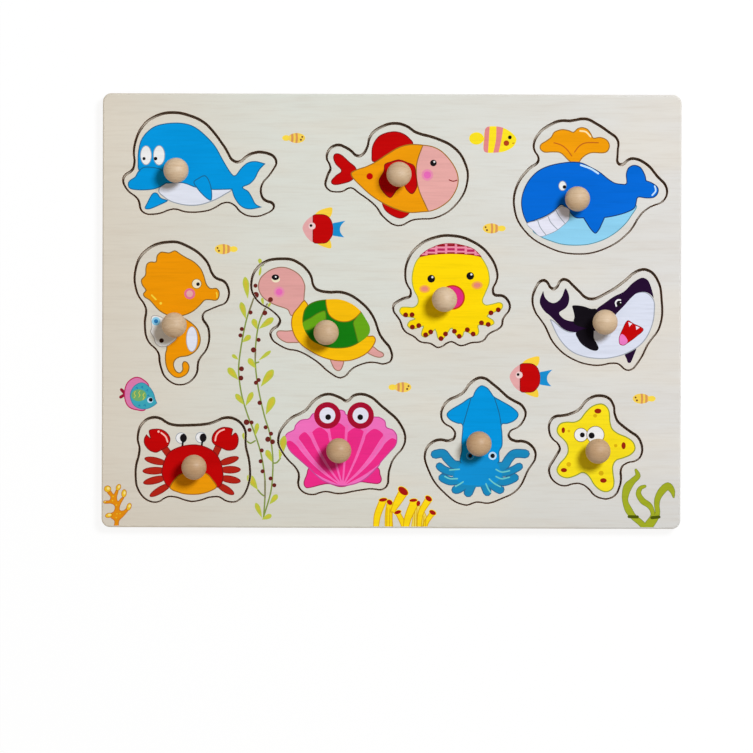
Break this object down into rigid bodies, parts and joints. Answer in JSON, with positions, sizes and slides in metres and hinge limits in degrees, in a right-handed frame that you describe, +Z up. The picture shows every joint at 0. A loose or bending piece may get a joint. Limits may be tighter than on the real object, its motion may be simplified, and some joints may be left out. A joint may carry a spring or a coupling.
{
  "type": "animal puzzle board",
  "caption": "Flat wooden inset puzzle with round-cornered board and sea animal pieces that lift out of their recesses by turned ball knobs.",
  "frame": {"origin": "middle of the board's underside, on the surface that it lies on", "axes": "+X runs along the board to the right as it is looked at, +Y away from the viewer, and +Z up through the knobs"},
  "size_m": [0.3, 0.225, 0.0228],
  "materials": {
    "plywood": "pale sanded plywood with fine grain along X, brown burnt walls in the saw cuts",
    "knob_wood": "bare turned wood, satin",
    "screw_steel": "plain zinc-plated steel",
    "dolphin_print": "print on sanded plywood: sky blue with a white belly, in a bare wood border",
    "fish_print": "print on sanded plywood: orange with red fins and a pink head, in a bare wood border",
    "whale_print": "print on sanded plywood: royal blue with a pale blue belly, in a bare wood border",
    "seahorse_print": "print on sanded plywood: orange, in a bare wood border",
    "turtle_print": "print on sanded plywood: green shell, golden rim and pink skin, in a bare wood border",
    "octopus_print": "print on sanded plywood: yellow with a pink checked cap, in a bare wood border",
    "orca_print": "print on sanded plywood: black-violet with a white-blue belly, in a bare wood border",
    "crab_print": "print on sanded plywood: red with an orange belly, in a bare wood border",
    "shell_print": "print on sanded plywood: magenta with pale pink ribs, in a bare wood border",
    "squid_print": "print on sanded plywood: sky blue with teal arms, in a bare wood border",
    "starfish_print": "print on sanded plywood: yellow with brown-red spots, in a bare wood border"
  },
  "bodies": {
    "board": {"top_plate": "plywood", "backing_plate": "plywood"},
    "dolphin": {"dolphin_piece": "dolphin_print", "dolphin_knob": "knob_wood", "dolphin_screw": "screw_steel"},
    "fish": {"fish_piece": "fish_print", "fish_knob": "knob_wood", "fish_screw": "screw_steel"},
    "whale": {"whale_piece": "whale_print", "whale_knob": "knob_wood", "whale_screw": "screw_steel"},
    "seahorse": {"seahorse_piece": "seahorse_print", "seahorse_knob": "knob_wood", "seahorse_screw": "screw_steel"},
    "turtle": {"turtle_piece": "turtle_print", "turtle_knob": "knob_wood", "turtle_screw": "screw_steel"},
    "octopus": {"octopus_piece": "octopus_print", "octopus_knob": "knob_wood", "octopus_screw": "screw_steel"},
    "orca": {"orca_piece": "orca_print", "orca_knob": "knob_wood", "orca_screw": "screw_steel"},
    "crab": {"crab_piece": "crab_print", "crab_knob": "knob_wood", "crab_screw": "screw_steel"},
    "shell": {"shell_piece": "shell_print", "shell_knob": "knob_wood", "shell_screw": "screw_steel"},
    "squid": {"squid_piece": "squid_print", "squid_knob": "knob_wood", "squid_screw": "screw_steel"},
    "starfish": {"starfish_piece": "starfish_print", "starfish_knob": "knob_wood", "starfish_screw": "screw_steel"}
  },
  "joints": [
    {"name": "dolphin_lift", "type": "slide", "parent": "board", "child": "dolphin", "axis": [0, 0, 1], "range_m": [0, 0.03]},
    {"name": "fish_lift", "type": "slide", "parent": "board", "child": "fish", "axis": [0, 0, 1], "range_m": [0, 0.03]},
    {"name": "whale_lift", "type": "slide", "parent": "board", "child": "whale", "axis": [0, 0, 1], "range_m": [0, 0.03]},
    {"name": "seahorse_lift", "type": "slide", "parent": "board", "child": "seahorse", "axis": [0, 0, 1], "range_m": [0, 0.03]},
    {"name": "turtle_lift", "type": "slide", "parent": "board", "child": "turtle", "axis": [0, 0, 1], "range_m": [0, 0.03]},
    {"name": "octopus_lift", "type": "slide", "parent": "board", "child": "octopus", "axis": [0, 0, 1], "range_m": [0, 0.03]},
    {"name": "orca_lift", "type": "slide", "parent": "board", "child": "orca", "axis": [0, 0, 1], "range_m": [0, 0.03]},
    {"name": "crab_lift", "type": "slide", "parent": "board", "child": "crab", "axis": [0, 0, 1], "range_m": [0, 0.03]},
    {"name": "shell_lift", "type": "slide", "parent": "board", "child": "shell", "axis": [0, 0, 1], "range_m": [0, 0.03]},
    {"name": "squid_lift", "type": "slide", "parent": "board", "child": "squid", "axis": [0, 0, 1], "range_m": [0, 0.03]},
    {"name": "starfish_lift", "type": "slide", "parent": "board", "child": "starfish", "axis": [0, 0, 1], "range_m": [0, 0.03]}
  ]
}
